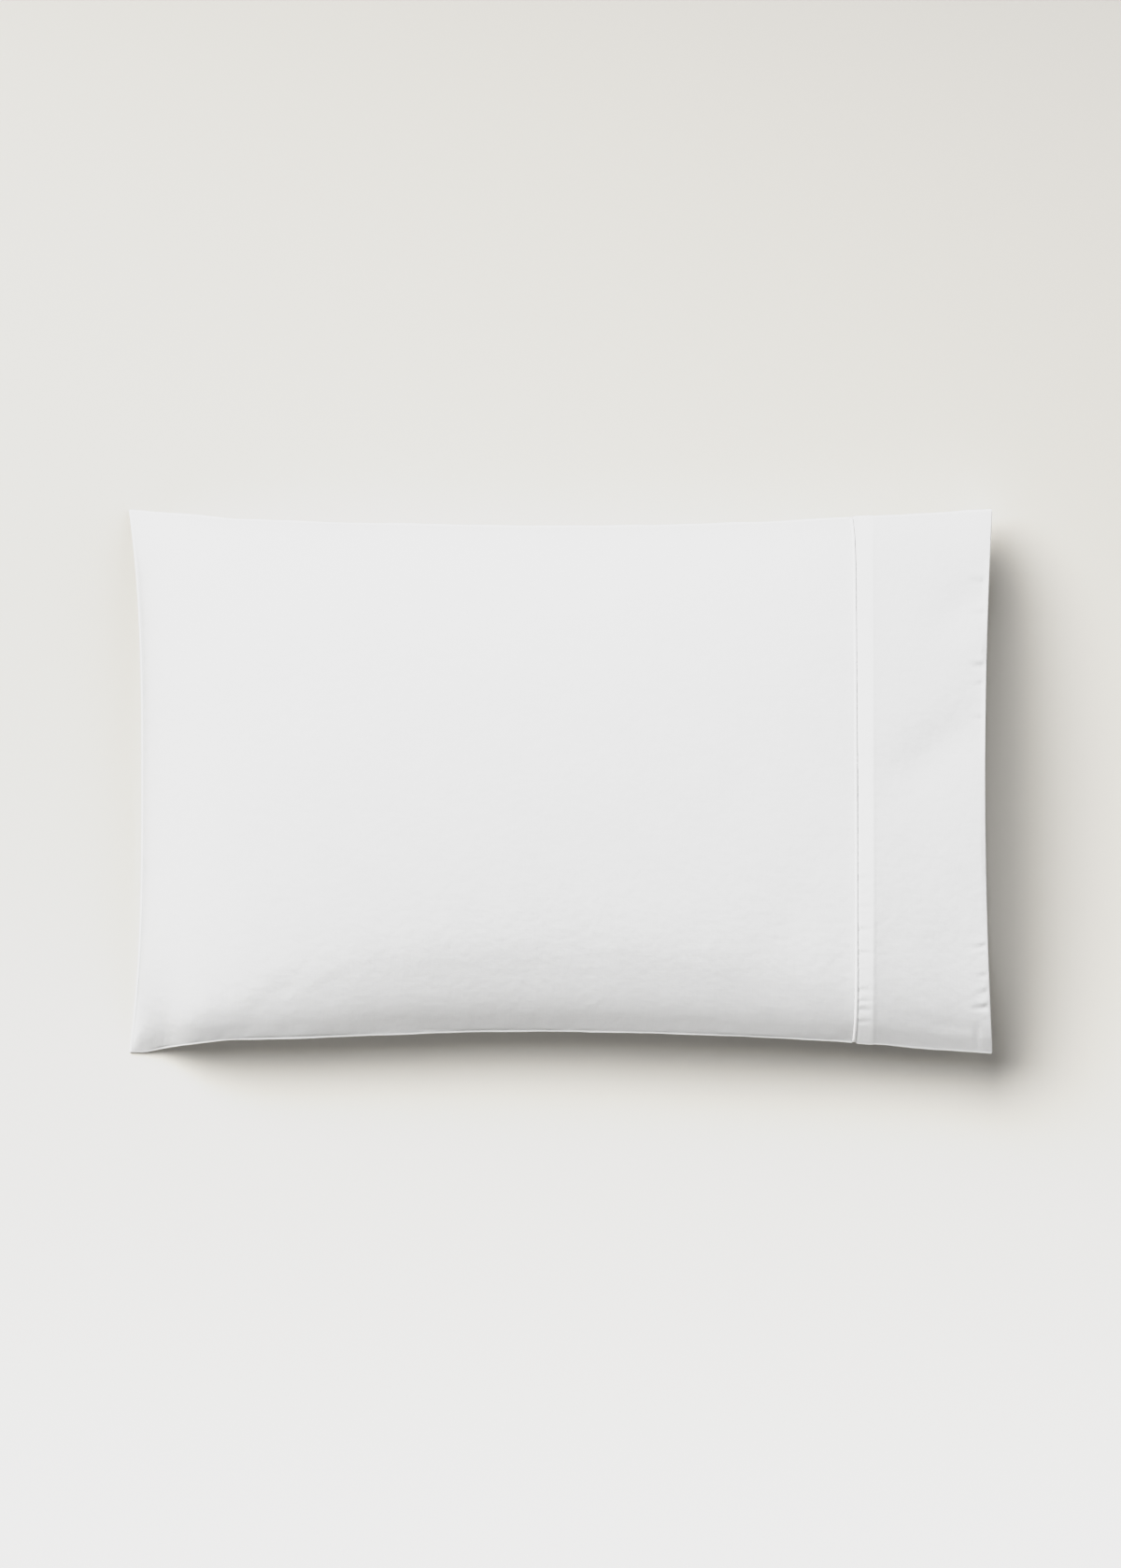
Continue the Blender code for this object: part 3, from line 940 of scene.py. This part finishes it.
@dataclass
class Cuff:
    """The double band at the open end, with the seam allowance that lies raised beside the piping.

    start, strip_fade and rim are the steps along the case where the band starts at the piping, where the
    raised strip ends and where the mouth's rim turns in, each with how far the ring lies inside the face or
    with the share of the strip's rise that is left. The tones are how much paler the strip and the lip are
    painted: partly for the layers behind them, and as a painted highlight that is palest on the strip in the
    middle of the case and on the lip's edge.
    """

    form: CaseForm
    cells: int = 150
    side_cells: int = 6
    cloth: float = 1.6
    start: tuple[tuple[float, float], ...] = ((0.0, 0.9), (0.0, 0.4), (0.4, 0.1), (1.2, -0.15))
    strip_rise: float = 0.6
    strip_width: float = 14.4
    strip_rings: int = 6
    strip_fade: tuple[tuple[float, float], ...] = ((0.0, 0.85), (1.4, 0.5), (2.8, 0.15), (4.2, 0.0))
    first_step: float = 1.0
    growth: float = 1.25
    largest_step: float = 4.5
    rim: tuple[tuple[float, float], ...] = ((0.25, 0.2), (0.0, 0.6), (0.0, 1.0), (0.25, 1.4))
    rim_round: float = 0.8
    inner_first_step: float = 2.0
    inner_growth: float = 1.4
    inner_largest_step: float = 9.0
    side_margin: float = 2.0
    thinnest: float = 0.15
    uneven: float = 0.4
    uneven_size: tuple[float, float, float] = (70.0, 60.0, 200.0)
    strip_tone: float = 0.45
    strip_middle_highlight: float = 0.55
    strip_middle: float = 144.0
    lip_layers_and_highlight: float = 0.6
    thing: bpy.types.Object | None = None

    @property
    def start_x(self) -> float:
        """Where the cuff begins against the piping."""
        return self.form.seam_x + self.form.piping_half

    def build(self) -> None:
        """Lofts the band's outer and inner face as one closed sleeve, smooths it, and lays its creases."""
        self.thing = ClothTube("cuff_band", self._rings(), meets_itself=True).build()
        subdivide(self.thing)
        self._crease()

    def _ring(self, x: float, inset: float, lip: float = 0.0) -> Ring:
        """Makes one ring of the cuff, which draws in from the side seams as it sinks below the face.

        Args:
            x: The station, in millimetres.
            inset: How far inside the face the ring lies.
            lip: How far the lip stands out of the side.

        Returns:
            The ring.
        """
        sunk = max(inset, 0.0) / self.cloth
        return self.form.ring(x, self.cells, self.side_cells, inset=inset, lip=lip * (1.0 - sunk),
                              margin=self.side_margin * sunk, thinnest=self.thinnest)

    def _rings(self) -> list[Ring]:
        """Makes the cuff's rings.

        Returns:
            The rings, outside from the piping to the mouth, and back inside.
        """
        lip, mouth = self.form.lip_width, self.form.mouth_x
        strip_end = self.start_x + self.strip_width
        strip_top_x, strip_fall_x, plain_x = self.start_x + 2.4, strip_end - 1.6, strip_end + 6.0
        rings = []
        for step, inset in self.start:
            rings.append(self._ring(self.start_x + step, inset, lip))
        rings.append(self._ring(strip_top_x, -self.strip_rise, lip))
        for x in np.linspace(self.start_x + 3.6, strip_fall_x, self.strip_rings):
            rings.append(self._ring(x, -self.strip_rise, lip))
        for step, share in self.strip_fade:
            rings.append(self._ring(strip_end + step, -self.strip_rise * share, lip))
        plain = graded(mouth - self.rim_round, plain_x, self.first_step, self.growth, self.largest_step)
        for x in plain[::-1]:
            rings.append(self._ring(x, 0.0, lip))
        for back, inset in self.rim:
            rings.append(self._ring(mouth - back, inset, lip))
        inner = graded(mouth - self.rim_round, self.start_x, self.inner_first_step, self.inner_growth,
                       self.inner_largest_step)
        for x in inner:
            rings.append(self._ring(x, self.cloth))
        return rings

    def _crease(self) -> None:
        """Lays the strip's and the mouth's puckers and the broad hollows into the cuff."""
        mesh = self.thing.data
        points, normals = read_points(mesh)
        x, y, _ = (points / MM).T
        upper = read_values(mesh, "upper")
        from_seam = read_values(mesh, "from_seam") / MM
        form = self.form
        bow = form.mouth_bow * (1.0 - np.clip(y / form.sections[-1].back, -1.0, 1.0) ** 2)
        from_mouth = form.mouth_x - x - bow * (x - form.seam_x) / (form.mouth_x - form.seam_x)
        from_piping = x - self.start_x
        lift = np.zeros(len(points))
        for hollow in CUFF_HOLLOWS:
            lift += hollow.lift(x, y) * upper
        for pucker in MOUTH_PUCKERS:
            lift += pucker.lift(y, from_mouth) * upper
        for pucker in STRIP_PUCKERS:
            lift += pucker.lift(y, from_piping) * upper
        lift += self.uneven * noise_at(points / MM, self.uneven_size)
        inner = self._inner(points, normals)
        lift *= np.clip(from_seam / 2.0, 0.0, 1.0) * np.clip((from_mouth - 1.0) / 4.0, 0.0, 1.0)
        points += np.where(inner[:, None], -normals, normals) * (lift * MM)[:, None]
        points[:, 2] = np.maximum(points[:, 2], 0.0)
        write_points(mesh, points)
        # Paleness painted into the cuff's colour: on the strip partly for the seam allowance behind it, with
        # a painted highlight palest in the middle, and on the lip.
        on_strip = np.clip(from_piping, 0.0, 1.0)
        on_strip *= np.clip((self.strip_width + 1.5 - from_piping) / 2.0, 0.0, 1.0)
        tone = self.strip_tone + self.strip_middle_highlight * np.exp(-((y / self.strip_middle) ** 2))
        write_painted_tone(mesh, np.where(from_seam < -0.2, self.lip_layers_and_highlight, on_strip * tone * ~inner))

    @staticmethod
    def _inner(points: np.ndarray, normals: np.ndarray) -> np.ndarray:
        """Finds the points of the inner face, whose normals point into the case.

        Args:
            points: The cuff's points.
            normals: Their normals.

        Returns:
            A mark for each point, true on the inner face.
        """
        centre_z = points[:, 2].mean()
        towards = normals[:, 2] * (points[:, 2] - centre_z) + normals[:, 1] * points[:, 1]
        return towards < 0.0

    def dress(self, finish: bpy.types.Material, bag: Bag) -> None:
        """Gives the cuff its finish and its place in the frame.

        Args:
            finish: The material of the cuff.
            bag: The bag, whose filled end the cuff is drawn over. It is not used.
        """
        self.thing.data.materials.append(finish)
        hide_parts("cuff")
        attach(self.thing, BODY)


# --- Piping ---------------------------------------------------------------------------------------


@dataclass
class Piping:
    """The thin cord in its fold of cotton that is let into the seam all round the case."""

    form: CaseForm
    cells: int = 110
    side_cells: int = 2
    sink: float = 0.15
    sides: int = 12
    thing: bpy.types.Object | None = None

    def build(self) -> None:
        """Runs the cord round the case at the seam."""
        ring = self.form.ring(self.form.seam_x, self.cells, self.side_cells, inset=self.sink)
        curve = bpy.data.curves.new("piping_path", "CURVE")
        curve.dimensions = "3D"
        curve.bevel_depth = self.form.piping_radius * MM
        curve.bevel_resolution = self.sides // 2 - 2
        spline = curve.splines.new("POLY")
        spline.points.add(len(ring.y) - 1)
        for point, x, y, z in zip(spline.points, ring.x, ring.y, ring.z):
            point.co = (x * MM, y * MM, z * MM, 1.0)
        spline.use_cyclic_u = True
        spline.use_smooth = True
        path = bpy.data.objects.new("piping_path", curve)
        bpy.context.scene.collection.objects.link(path)
        mesh = bpy.data.meshes.new_from_object(path.evaluated_get(bpy.context.evaluated_depsgraph_get()))
        bpy.data.objects.remove(path)
        self.thing = bpy.data.objects.new("piping_cord", mesh)
        bpy.context.scene.collection.objects.link(self.thing)
        mesh.shade_smooth()

    def dress(self, finish: bpy.types.Material) -> None:
        """Gives the piping its finish and its place in the frame.

        Args:
            finish: The material of the piping.
        """
        self.thing.data.materials.append(finish)
        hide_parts("piping")
        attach(self.thing, BODY)


# --- Finishes -------------------------------------------------------------------------------------


Value = float | bpy.types.NodeSocket


@dataclass(frozen=True)
class Wires:
    """Lays nodes in one node tree and joins them up."""

    tree: bpy.types.NodeTree

    def node(self, kind: str, **settings: str | float | bool) -> bpy.types.Node:
        """Adds a node.

        Args:
            kind: The node's type.
            settings: The values of its settings, by name.

        Returns:
            The node.
        """
        made = self.tree.nodes.new(kind)
        for name, value in settings.items():
            setattr(made, name, value)
        return made

    def feed(self, value: Value | tuple[float, ...], socket: bpy.types.NodeSocket) -> None:
        """Joins a socket to another, or gives it a fixed value.

        Args:
            value: The other socket, or the value.
            socket: The socket that takes it.
        """
        if isinstance(value, bpy.types.NodeSocket):
            self.tree.links.new(value, socket)
        else:
            socket.default_value = value

    def math(self, operation: str, *values: Value) -> bpy.types.NodeSocket:
        """Adds one calculation.

        Args:
            operation: The calculation's name.
            values: Its sockets or numbers, in order.

        Returns:
            The socket of its result.
        """
        made = self.node("ShaderNodeMath", operation=operation)
        for value, socket in zip(values, made.inputs):
            self.feed(value, socket)
        return made.outputs[0]

    def scaled(self, colour: Value | tuple[float, ...], factor: Value) -> bpy.types.NodeSocket:
        """Adds the product of a colour and a number.

        Args:
            colour: The colour.
            factor: The number, or the socket that gives it.

        Returns:
            The socket of the product.
        """
        made = self.node("ShaderNodeVectorMath", operation="SCALE")
        self.feed(colour, made.inputs[0])
        self.feed(factor, made.inputs["Scale"])
        return made.outputs[0]

    def shared(self, group: bpy.types.NodeTree) -> bpy.types.Node:
        """Adds a use of a shared group.

        Args:
            group: The group.

        Returns:
            The node that uses it.
        """
        made = self.node("ShaderNodeGroup")
        made.node_tree = group
        return made


def new_group(name: str, takes: tuple[tuple[str, str], ...], gives: tuple[tuple[str, str], ...]) -> Wires:
    """Makes an empty shared group.

    Args:
        name: The group's name.
        takes: Name and kind of each input.
        gives: Name and kind of each output.

    Returns:
        Its wires, with the group's own input and output nodes in it.
    """
    group = bpy.data.node_groups.new(name, "ShaderNodeTree")
    for in_out, sockets in (("INPUT", takes), ("OUTPUT", gives)):
        for socket, kind in sockets:
            group.interface.new_socket(name=socket, in_out=in_out, socket_type=kind)
    return Wires(group)


@dataclass(frozen=True)
class Falloff:
    """Light and shade painted into the colours of the surface and what lies on it, from top left to bottom
    right of the view.

    half_width and half_height are those of the view, in metres. The other values weigh the share of the way
    to the right and down, the product of both, and the square and the cube of the way down.
    """

    half_width: float = 0.5094
    half_height: float = 0.713
    right: float = -0.0422
    down: float = 0.1117
    right_down: float = 0.0124
    down_twice: float = 0.1719
    down_thrice: float = 0.1581

    def build(self) -> bpy.types.NodeTree:
        """Makes the shared group, whose factor is 1 in the middle of the view.

        Returns:
            The group.
        """
        wires = new_group("painted_light_falloff", (), (("Factor", "NodeSocketFloat"),))
        place = wires.node("ShaderNodeSeparateXYZ")
        wires.feed(wires.node("ShaderNodeTexCoord").outputs["Object"], place.inputs[0])
        across = self._share(wires, place.outputs["X"], self.half_width)
        along = self._share(wires, place.outputs["Y"], -self.half_height)
        level = wires.math("MULTIPLY_ADD", along, self.down_thrice, self.down_twice)
        level = wires.math("MULTIPLY_ADD", level, along, self.down)
        level = wires.math("ADD", level, wires.math("MULTIPLY", across, self.right_down))
        level = wires.math("MULTIPLY_ADD", level, along, 1.0)
        level = wires.math("MULTIPLY_ADD", across, self.right, level)
        wires.feed(level, wires.node("NodeGroupOutput").inputs["Factor"])
        return wires.tree

    @staticmethod
    def _share(wires: Wires, value: bpy.types.NodeSocket, half: float) -> bpy.types.NodeSocket:
        """Turns a place into its share of the way from the middle of the view to its edge.

        Args:
            wires: The wires of the group.
            value: The place.
            half: The edge's place, negative where the share grows as the place falls.

        Returns:
            The socket of the share, from -1 to 1.
        """
        span = wires.node("ShaderNodeMapRange", clamp=True)
        wires.feed(value, span.inputs["Value"])
        for socket, limit in (("From Min", -half), ("From Max", half), ("To Min", -1.0), ("To Max", 1.0)):
            span.inputs[socket].default_value = limit
        return span.outputs["Result"]


@dataclass(frozen=True)
class Weave:
    """Plain-woven cotton: threads over and under each other, thick and thin threads, and faint wrinkles.

    thread is the space from one thread to the next, slub how long and how broad the thick stretches of a
    thread are, wrinkle the size of the wrinkles, mottle that of the patches of the tint, and the rises are
    their heights, all in metres.
    """

    thread: float = 0.00055
    slub: tuple[float, float] = (0.03, 0.0011)
    wrinkle: float = 0.009
    thread_rise: float = 0.00001
    slub_rise: float = 0.00003
    wrinkle_rise: float = 0.0004
    mottle: float = 0.03

    def build(self) -> bpy.types.NodeTree:
        """Makes the shared group: from a place on the cloth to the cloth's height there and its tint.

        Returns:
            The group.
        """
        wires = new_group("cotton_weave", (("Place", "NodeSocketVector"),),
                          (("Height", "NodeSocketFloat"), ("Tint", "NodeSocketFloat")))
        place = wires.node("NodeGroupInput").outputs["Place"]
        parts = wires.node("ShaderNodeSeparateXYZ")
        wires.feed(place, parts.inputs[0])
        turns = [wires.math("SINE", wires.math("MULTIPLY", parts.outputs[axis], math.pi / self.thread))
                 for axis in ("X", "Y")]
        threads = wires.math("MULTIPLY", *turns)
        long, thin = self.slub
        warp = self._noise(wires, place, (1.0 / long, 1.0 / thin, 1.0))
        weft = self._noise(wires, place, (1.0 / thin, 1.0 / long, 1.0))
        slubs = wires.math("ADD", warp, weft)
        wrinkles = self._noise(wires, place, (1.0 / self.wrinkle,) * 3)
        height = wires.math("MULTIPLY", wrinkles, self.wrinkle_rise)
        height = wires.math("MULTIPLY_ADD", slubs, self.slub_rise, height)
        height = wires.math("MULTIPLY_ADD", threads, self.thread_rise, height)
        given = wires.node("NodeGroupOutput")
        wires.feed(height, given.inputs["Height"])
        mottle = self._noise(wires, place, (1.0 / self.mottle,) * 3, detail=4.0)
        patches = wires.math("SUBTRACT", mottle, 0.5)
        tint = wires.math("MULTIPLY_ADD", wires.math("SUBTRACT", slubs, 1.0), 0.5, patches)
        wires.feed(tint, given.inputs["Tint"])
        return wires.tree

    @staticmethod
    def _noise(wires: Wires, place: bpy.types.NodeSocket, scale: tuple[float, float, float],
               detail: float = 1.5) -> bpy.types.NodeSocket:
        """Adds noise that is stretched along the axes.

        Args:
            wires: The wires of the group.
            place: Where it is read.
            scale: Lumps to a metre along each axis.
            detail: How fine the finest lumps are.

        Returns:
            The socket of the noise, from 0 to 1.
        """
        spread = wires.node("ShaderNodeVectorMath", operation="MULTIPLY")
        wires.feed(place, spread.inputs[0])
        spread.inputs[1].default_value = scale
        lumps = wires.node("ShaderNodeTexNoise")
        wires.feed(spread.outputs[0], lumps.inputs["Vector"])
        lumps.inputs["Scale"].default_value = 1.0
        lumps.inputs["Detail"].default_value = detail
        return lumps.outputs["Fac"]


# How strongly the shade and paleness painted for the layers behind the cloth change its tone, and the
# colours of cuff and piping beside the bag: the cuff's is darkened as painted shade and the round piping's
# raised as a painted highlight, though all are one cotton.
PAINTED_TONE = 0.25
CUFF_SHADED_COLOUR = 0.738
PIPING_HIGHLIGHT_COLOUR = 0.92


class Grain(Enum):
    """How a piece is cut: along its threads, or at 45 degrees to them, as the fold of a piping is."""

    STRAIGHT = 0.0
    BIAS = math.pi / 4.0


@dataclass(frozen=True)
class CottonFinish:
    """Plain-woven white cotton.

    measured says that the piece's UV map measures its cloth, painted_tone how strongly the shade and
    paleness that are painted for the layers behind the cloth change its tone, and tint how much the weave
    does. A light falloff is painted into its colour too.
    """

    name: str
    weave: bpy.types.NodeTree
    falloff: bpy.types.NodeTree
    grain: Grain = Grain.STRAIGHT
    measured: bool = True
    painted_tone: float = 0.0
    colour: float = 0.79
    tint: float = 0.06
    roughness: float = 0.86
    specular: float = 0.25
    sheen: float = 0.08
    sheen_roughness: float = 0.5

    def build(self) -> bpy.types.Material:
        """Makes the material of this finish.

        Returns:
            The material.
        """
        finish = bpy.data.materials.new(self.name)
        finish.use_nodes = True
        wires = Wires(finish.node_tree)
        shader = finish.node_tree.nodes["Principled BSDF"]
        turned = wires.node("ShaderNodeVectorRotate", rotation_type="Z_AXIS")
        wires.feed(self._place(wires), turned.inputs["Vector"])
        turned.inputs["Angle"].default_value = self.grain.value
        weave = wires.shared(self.weave)
        wires.feed(turned.outputs[0], weave.inputs["Place"])
        # Light falloff painted into the cloth's colour.
        light = wires.shared(self.falloff).outputs["Factor"]
        threads = wires.math("MULTIPLY_ADD", weave.outputs["Tint"], self.tint, 1.0)
        level = wires.math("MULTIPLY", light, threads)
        # Shade and paleness painted from the mesh's layers value.
        if self.painted_tone:
            layers = wires.node("ShaderNodeAttribute", attribute_name="layers").outputs["Fac"]
            level = wires.math("MULTIPLY", level, wires.math("MULTIPLY_ADD", layers, self.painted_tone, 1.0))
        wires.feed(wires.scaled((self.colour,) * 3, level), shader.inputs["Base Color"])
        bump = wires.node("ShaderNodeBump")
        bump.inputs["Distance"].default_value = 1.0
        wires.feed(weave.outputs["Height"], bump.inputs["Height"])
        wires.feed(bump.outputs[0], shader.inputs["Normal"])
        shader.inputs["Roughness"].default_value = self.roughness
        shader.inputs["Specular IOR Level"].default_value = self.specular
        shader.inputs["Sheen Weight"].default_value = self.sheen
        shader.inputs["Sheen Roughness"].default_value = self.sheen_roughness
        return finish

    def _place(self, wires: Wires) -> bpy.types.NodeSocket:
        """Adds where a point lies on the cloth.

        Args:
            wires: The wires of the material.

        Returns:
            The socket of the place, by the cloth's own measure if it has one.
        """
        if self.measured:
            return wires.node("ShaderNodeUVMap", uv_map="cloth").outputs[0]
        return wires.node("ShaderNodeTexCoord").outputs["Object"]


@dataclass(frozen=True)
class SurfaceFinish:
    """The pale matte surface under the case, with a light falloff painted into its colour."""

    falloff: bpy.types.NodeTree
    colour: tuple[float, float, float] = (0.719, 0.70, 0.662)
    roughness: float = 0.9
    specular: float = 0.1

    def build(self) -> bpy.types.Material:
        """Makes the material of the surface.

        Returns:
            The material.
        """
        finish = bpy.data.materials.new("pale_surface")
        finish.use_nodes = True
        wires = Wires(finish.node_tree)
        shader = finish.node_tree.nodes["Principled BSDF"]
        # Light falloff painted into the surface's colour.
        light = wires.shared(self.falloff).outputs["Factor"]
        wires.feed(wires.scaled(self.colour, light), shader.inputs["Base Color"])
        shader.inputs["Roughness"].default_value = self.roughness
        shader.inputs["Specular IOR Level"].default_value = self.specular
        return finish


# --- Studio ---------------------------------------------------------------------------------------


@dataclass(frozen=True)
class Lamp:
    """A distant soft light.

    around and down are where it stands, in degrees round from +X and down from straight above, width how
    wide it looks, in degrees, and share the light that it gives a level surface.
    """

    name: str
    around: float
    down: float
    width: float
    share: float

    def hang(self) -> None:
        """Makes the light."""
        around, down = math.radians(self.around), math.radians(self.down)
        level = math.sin(down)
        towards = Vector((level * math.cos(around), level * math.sin(around), math.cos(down)))
        lamp = bpy.data.lights.new(self.name, "SUN")
        lamp.energy = math.pi * self.share / math.cos(down)
        lamp.angle = math.radians(self.width)
        light = bpy.data.objects.new(self.name, lamp)
        light.rotation_euler = towards.to_track_quat("Z", "Y").to_euler()
        bpy.context.scene.collection.objects.link(light)


LAMPS = (
    Lamp("key", 131.0, 47.3, 55.0, 0.840),
    Lamp("bounce", -8.0, 62.0, 90.0, 0.170),
)

# The picture's tones: how bright a point is, and how bright it is shown.
TONES = (
    (0.0, 0.0), (0.095, 0.076), (0.198, 0.160), (0.316, 0.300), (0.435, 0.440), (0.553, 0.583),
    (0.672, 0.704), (0.776, 0.784), (0.85, 0.806), (0.94, 0.822), (1.06, 0.837), (1.25, 0.855), (1.6, 0.88),
)

# Which curve of the picture's colour curves works on all three colours alike.
ALL_COLOURS = 3


@dataclass(frozen=True)
class Glow:
    """The soft light that comes through the thin cuff and out of the mouth, as a strip that shines down.

    Its place, length and breadth are in metres, and its power is in watts.
    """

    place: tuple[float, float, float] = (0.384, -0.01, 0.028)
    length: float = 0.40
    breadth: float = 0.02
    power: float = 0.0115

    def hang(self) -> None:
        """Makes the light."""
        lamp = bpy.data.lights.new("glow", "AREA")
        lamp.shape = "RECTANGLE"
        lamp.size, lamp.size_y = self.breadth, self.length
        lamp.energy = self.power
        light = bpy.data.objects.new("glow", lamp)
        light.location = self.place
        light.visible_camera = False
        bpy.context.scene.collection.objects.link(light)


@dataclass(frozen=True)
class Studio:
    """A pale surface, soft light from the upper left of the view, and a camera straight above.

    picture is the photo's size, centre_pixel where the middle of the case lies in it and mm_per_pixel its
    scale at level millimetres above the surface. fill is the even light in the shadows. surface_size and
    view_depth are in metres.
    """

    surface: bpy.types.Material
    picture: tuple[int, int] = (1200, 1679)
    centre_pixel: tuple[float, float] = (599.75, 836.5)
    mm_per_pixel: float = 0.849
    level: float = 40.0
    lens: float = 500.0
    sensor: float = 36.0
    fill: float = 0.092
    backdrop: float = 0.8
    surface_size: float = 16.0
    view_depth: float = 50.0

    def build(self) -> None:
        """Sets up the surface, the lights, the camera and the picture's tones."""
        self._lay_surface()
        for lamp in LAMPS:
            lamp.hang()
        Glow().hang()
        self._fill_shadows()
        self._place_camera()
        self._set_tones()

    def _lay_surface(self) -> None:
        """Makes the pale surface that the case lies on."""
        bm = bmesh.new()
        bmesh.ops.create_grid(bm, x_segments=4, y_segments=4, size=self.surface_size / 2.0)
        mesh = bpy.data.meshes.new("surface")
        bm.to_mesh(mesh)
        bm.free()
        mesh.materials.append(self.surface)
        surface = bpy.data.objects.new("surface", mesh)
        bpy.context.scene.collection.objects.link(surface)

    def _fill_shadows(self) -> None:
        """Gives the shadows a little even light, and the camera a pale backdrop."""
        world = bpy.data.worlds.new("fill")
        world.use_nodes = True
        nodes, links = world.node_tree.nodes, world.node_tree.links
        seen = nodes.new("ShaderNodeLightPath")
        strength = nodes.new("ShaderNodeMix")
        strength.inputs["A"].default_value = self.fill
        strength.inputs["B"].default_value = self.backdrop
        links.new(seen.outputs["Is Camera Ray"], strength.inputs["Factor"])
        links.new(strength.outputs["Result"], nodes["Background"].inputs["Strength"])
        nodes["Background"].inputs["Color"].default_value = (1.0, 1.0, 1.0, 1.0)
        bpy.context.scene.world = world

    def _place_camera(self) -> None:
        """Hangs the camera straight above, where the case fills as much of the picture as in the photo."""
        lens = bpy.data.cameras.new("camera")
        lens.lens, lens.sensor_width = self.lens, self.sensor
        height = self.picture[1] * self.mm_per_pixel * self.lens / self.sensor + self.level
        lens.clip_end = self.view_depth
        camera = bpy.data.objects.new("camera", lens)
        right = (self.picture[0] / 2.0 - self.centre_pixel[0]) * self.mm_per_pixel
        down = (self.picture[1] / 2.0 - self.centre_pixel[1]) * self.mm_per_pixel
        camera.location = (right * MM, -down * MM, height * MM)
        bpy.context.scene.collection.objects.link(camera)
        bpy.context.scene.camera = camera

    @staticmethod
    def _set_tones() -> None:
        """Gives the picture the soft shoulder of a photo's tones."""
        view = bpy.context.scene.view_settings
        view.view_transform = "Standard"
        view.use_curve_mapping = True
        mapping = view.curve_mapping
        mapping.use_clip = False
        curve = mapping.curves[ALL_COLOURS]
        curve.points[0].location = TONES[0]
        curve.points[1].location = TONES[-1]
        for light, shown in TONES[1:-1]:
            curve.points.new(light, shown)
        mapping.update()


def main() -> None:
    """Builds each piece of the case, dresses it, and sets up the studio round it."""
    logging.basicConfig(level=logging.INFO, format="%(name)s: %(message)s")
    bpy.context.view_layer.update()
    weave, falloff = Weave().build(), Falloff().build()
    form = CaseForm()
    bag = Bag(form)
    bag.build()
    bag.dress(CottonFinish("cotton_body", weave, falloff, painted_tone=PAINTED_TONE).build())
    LOG.info("bag: %d faces", len(bag.thing.data.polygons))
    cuff = Cuff(form)
    cuff.build()
    cuff.dress(CottonFinish("cotton_cuff", weave, falloff, painted_tone=PAINTED_TONE, colour=CUFF_SHADED_COLOUR).build(), bag)
    LOG.info("cuff: %d faces", len(cuff.thing.data.polygons))
    piping = Piping(form)
    piping.build()
    fold = CottonFinish("cotton_piping", weave, falloff, Grain.BIAS, measured=False, colour=PIPING_HIGHLIGHT_COLOUR)
    piping.dress(fold.build())
    LOG.info("piping: %d faces", len(piping.thing.data.polygons))
    Studio(SurfaceFinish(falloff).build()).build()


if __name__ == "__main__":
    main()
